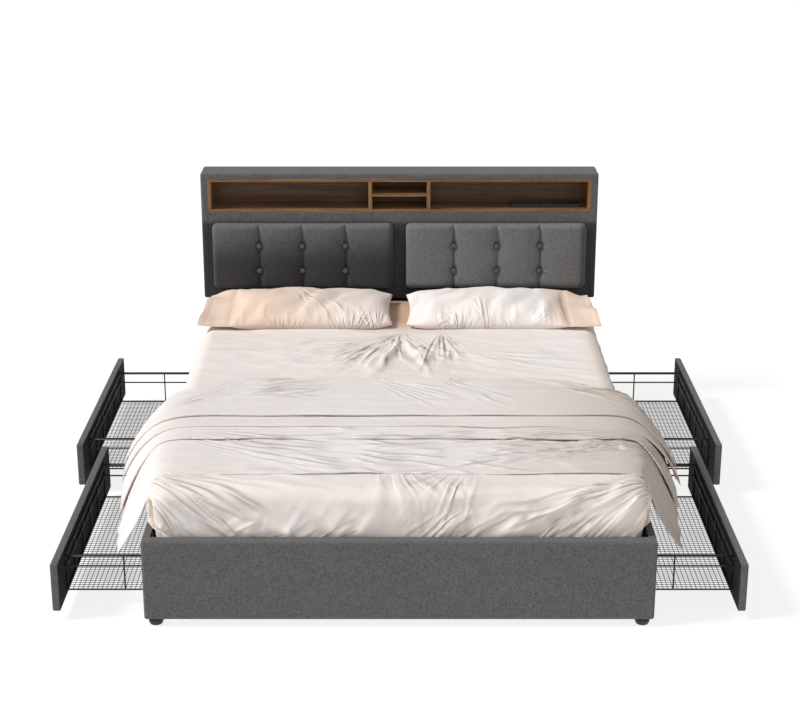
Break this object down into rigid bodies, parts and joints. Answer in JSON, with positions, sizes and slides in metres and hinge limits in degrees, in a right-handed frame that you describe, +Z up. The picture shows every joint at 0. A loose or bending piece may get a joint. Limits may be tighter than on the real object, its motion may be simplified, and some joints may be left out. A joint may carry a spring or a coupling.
{
  "type": "platform bed with storage drawers",
  "caption": "Upholstered platform bed with a shelf headboard, tufted back cushions, wire-basket drawers that slide out under both sides, and made-up bedding.",
  "frame": {"origin": "on the floor, under the middle of the bed with its drawers open", "axes": "+X to the right seen from the foot, +Y from the foot to the head, +Z up"},
  "size_m": [2.384, 2.215, 0.9855],
  "materials": {
    "linen": "mid-grey heathered linen-look upholstery weave",
    "walnut": "satin walnut veneer",
    "core_board": "raw particle board",
    "black_board": "black laminated board",
    "black_steel": "satin black powder coat",
    "nylon": "white nylon",
    "foot_plastic": "moulded black plastic",
    "slat_wood": "sanded pine",
    "bolt_steel": "zinc plated",
    "strip_plastic": "fine-textured black plastic",
    "outlet_plastic": "smooth dark grey plastic",
    "sheet": "plain cotton sheet, off-white",
    "coverlet": "plain washed cotton, off-white",
    "throw": "light woven throw, cream",
    "pillow_warm": "plain cotton, warm beige",
    "pillow_white": "plain cotton, off-white"
  },
  "bodies": {
    "root": {"back_cushion_left": "linen", "back_cushion_right": "linen", "bracket_bolts": "bolt_steel", "centre_beam": "black_steel", "corner_brackets": "black_steel", "coverlet": "coverlet", "cross_rails": "black_steel", "cushion_buttons": "linen", "drawer_channels": "black_steel", "feet": "foot_plastic", "footboard_core": "core_board", "footboard_cover": "linen", "headboard_back_panel": "linen", "headboard_end_left": "linen", "headboard_end_right": "linen", "headboard_front_panel": "linen", "headboard_legs": "black_steel", "headboard_studs": "core_board", "headboard_top": "linen", "mattress": "sheet", "pillow_left": "pillow_warm", "pillow_right": "pillow_white", "power_strip_housing": "strip_plastic", "power_strip_outlets": "outlet_plastic", "shelf_back_board": "walnut", "shelf_bottom_board": "walnut", "shelf_divider_left": "walnut", "shelf_divider_right": "walnut", "shelf_middle_board": "walnut", "shelf_side_left": "walnut", "shelf_side_right": "walnut", "shelf_top_board": "walnut", "side_rail_core_left": "core_board", "side_rail_core_right": "core_board", "side_rail_cover_left": "linen", "side_rail_cover_right": "linen", "slat_ledges": "black_steel", "slats": "slat_wood", "support_legs": "black_steel", "throw": "throw"},
    "near_left_drawer": {"near_left_front_board": "black_board", "near_left_front_cover": "linen", "near_left_basket": "black_steel"},
    "near_left_rear_rollers": {"near_left_rear_rollers": "nylon"},
    "near_left_front_rollers": {"near_left_front_rollers": "nylon"},
    "near_right_drawer": {"near_right_front_board": "black_board", "near_right_front_cover": "linen", "near_right_basket": "black_steel"},
    "near_right_rear_rollers": {"near_right_rear_rollers": "nylon"},
    "near_right_front_rollers": {"near_right_front_rollers": "nylon"},
    "far_left_drawer": {"far_left_front_board": "black_board", "far_left_front_cover": "linen", "far_left_basket": "black_steel"},
    "far_left_rear_rollers": {"far_left_rear_rollers": "nylon"},
    "far_left_front_rollers": {"far_left_front_rollers": "nylon"},
    "far_right_drawer": {"far_right_front_board": "black_board", "far_right_front_cover": "linen", "far_right_basket": "black_steel"},
    "far_right_rear_rollers": {"far_right_rear_rollers": "nylon"},
    "far_right_front_rollers": {"far_right_front_rollers": "nylon"}
  },
  "joints": [
    {"name": "near_left_drawer_slide", "type": "slide", "parent": "root", "child": "near_left_drawer", "axis": [-1, 0, 0], "range_m": [-0.295, 0.125]},
    {"name": "near_left_rear_rollers_turn", "type": "hinge", "parent": "near_left_drawer", "child": "near_left_rear_rollers", "pos_m": [-0.529, -0.5625, 0.165], "axis": [0, -1, 0], "range_deg": [-1700, 725]},
    {"name": "near_left_front_rollers_turn", "type": "hinge", "parent": "root", "child": "near_left_front_rollers", "pos_m": [-0.752, -0.5625, 0.1543], "axis": [0, -1, 0], "range_deg": [-1700, 725]},
    {"name": "near_right_drawer_slide", "type": "slide", "parent": "root", "child": "near_right_drawer", "axis": [1, 0, 0], "range_m": [-0.295, 0.125]},
    {"name": "near_right_rear_rollers_turn", "type": "hinge", "parent": "near_right_drawer", "child": "near_right_rear_rollers", "pos_m": [0.529, -0.5625, 0.165], "axis": [0, 1, 0], "range_deg": [-1700, 725]},
    {"name": "near_right_front_rollers_turn", "type": "hinge", "parent": "root", "child": "near_right_front_rollers", "pos_m": [0.752, -0.5625, 0.1543], "axis": [0, 1, 0], "range_deg": [-1700, 725]},
    {"name": "far_left_drawer_slide", "type": "slide", "parent": "root", "child": "far_left_drawer", "axis": [-1, 0, 0], "range_m": [-0.392, 0.028]},
    {"name": "far_left_rear_rollers_turn", "type": "hinge", "parent": "far_left_drawer", "child": "far_left_rear_rollers", "pos_m": [-0.626, 0.4425, 0.165], "axis": [0, -1, 0], "range_deg": [-2255, 170]},
    {"name": "far_left_front_rollers_turn", "type": "hinge", "parent": "root", "child": "far_left_front_rollers", "pos_m": [-0.752, 0.4425, 0.1543], "axis": [0, -1, 0], "range_deg": [-2255, 170]},
    {"name": "far_right_drawer_slide", "type": "slide", "parent": "root", "child": "far_right_drawer", "axis": [1, 0, 0], "range_m": [-0.392, 0.028]},
    {"name": "far_right_rear_rollers_turn", "type": "hinge", "parent": "far_right_drawer", "child": "far_right_rear_rollers", "pos_m": [0.626, 0.4425, 0.165], "axis": [0, 1, 0], "range_deg": [-2255, 170]},
    {"name": "far_right_front_rollers_turn", "type": "hinge", "parent": "root", "child": "far_right_front_rollers", "pos_m": [0.752, 0.4425, 0.1543], "axis": [0, 1, 0], "range_deg": [-2255, 170]}
  ],
  "couplings": [
    {"joint": "near_left_rear_rollers_turn", "follows": "near_left_drawer_slide", "rad_per_m": 100},
    {"joint": "near_left_front_rollers_turn", "follows": "near_left_drawer_slide", "rad_per_m": 100},
    {"joint": "near_right_rear_rollers_turn", "follows": "near_right_drawer_slide", "rad_per_m": 100},
    {"joint": "near_right_front_rollers_turn", "follows": "near_right_drawer_slide", "rad_per_m": 100},
    {"joint": "far_left_rear_rollers_turn", "follows": "far_left_drawer_slide", "rad_per_m": 100},
    {"joint": "far_left_front_rollers_turn", "follows": "far_left_drawer_slide", "rad_per_m": 100},
    {"joint": "far_right_rear_rollers_turn", "follows": "far_right_drawer_slide", "rad_per_m": 100},
    {"joint": "far_right_front_rollers_turn", "follows": "far_right_drawer_slide", "rad_per_m": 100}
  ]
}
